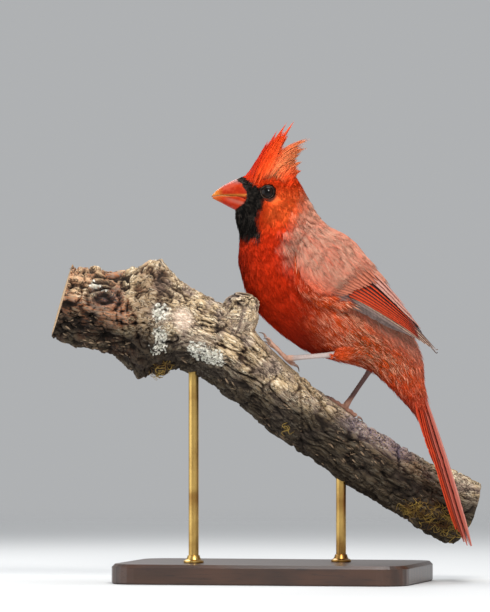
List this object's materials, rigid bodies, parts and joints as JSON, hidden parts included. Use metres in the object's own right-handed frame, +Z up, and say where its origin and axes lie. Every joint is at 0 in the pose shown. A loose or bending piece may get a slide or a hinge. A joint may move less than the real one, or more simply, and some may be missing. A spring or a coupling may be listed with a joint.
{
  "type": "perching northern cardinal model",
  "caption": "Life-size still model of a male northern cardinal gripping a cut length of branch, held by brass rods on a plain wooden display base.",
  "frame": {"origin": "on the floor, under the middle of the whole model's box", "axes": "+Z up; the bird's head points to -X and its tail to +X; its left side, which the picture shows, faces -Y"},
  "size_m": [0.2082, 0.108, 0.2306],
  "materials": {
    "plumage": "soft matte feathers, orange-red, with a black face mask",
    "wing_plumage": "soft matte feathers, dusty red and grey",
    "bill": "smooth horn, coral red, slight sheen",
    "eye": "polished, near black",
    "leg_skin": "scaled skin, dull pinkish brown",
    "claw": "dark horn",
    "bark": "weathered, deeply ridged bark",
    "stand_wood": "dark stained, satin",
    "stand_brass": "brushed"
  },
  "bodies": {
    "root": {"head": "plumage", "neck": "plumage", "torso": "plumage", "tail": "plumage", "thigh_left": "plumage", "thigh_right": "plumage", "wing_left": "wing_plumage", "wing_right": "wing_plumage", "bill_upper": "bill", "bill_lower": "bill", "eye_left": "eye", "eye_right": "eye", "shank_left": "leg_skin", "shank_right": "leg_skin", "foot_left": "leg_skin", "foot_right": "leg_skin", "claw_left_inner": "claw", "claw_left_middle": "claw", "claw_left_outer": "claw", "claw_left_hind": "claw", "claw_right_inner": "claw", "claw_right_middle": "claw", "claw_right_outer": "claw", "claw_right_hind": "claw", "perch": "bark", "stand_base": "stand_wood", "stand_rod_tall": "stand_brass", "stand_rod_short": "stand_brass"}
  },
  "joints": []
}
